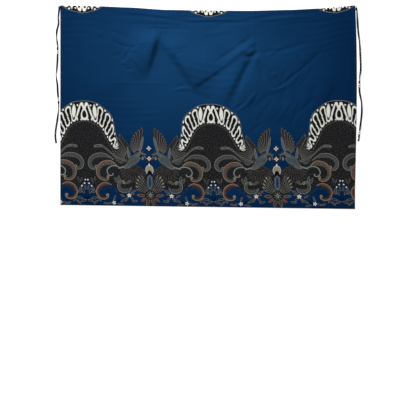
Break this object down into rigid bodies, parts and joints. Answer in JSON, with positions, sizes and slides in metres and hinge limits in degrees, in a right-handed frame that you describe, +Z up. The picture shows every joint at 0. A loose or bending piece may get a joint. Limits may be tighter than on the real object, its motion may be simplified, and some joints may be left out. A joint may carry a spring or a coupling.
{
  "type": "wrap skirt",
  "caption": "Wrap skirt of printed cotton laid out flat: a wide rectangular panel, darted at the waist, with a narrow cloth tie at each upper corner.",
  "frame": {"origin": "on the surface that the skirt lies on, under the middle of its bounding box", "axes": "+X along the waist to the wearer's left tie as laid out, +Y from the hem to the waist, +Z up, out of the printed side"},
  "size_m": [1.5664, 1.035, 0.0181],
  "materials": {
    "batik_cotton": "matt printed cotton with a faint sheen",
    "tie_cotton": "matt printed cotton, folded and stitched"
  },
  "bodies": {
    "root": {"skirt_panel": "batik_cotton", "tie_left": "tie_cotton", "tie_right": "tie_cotton"}
  },
  "joints": []
}
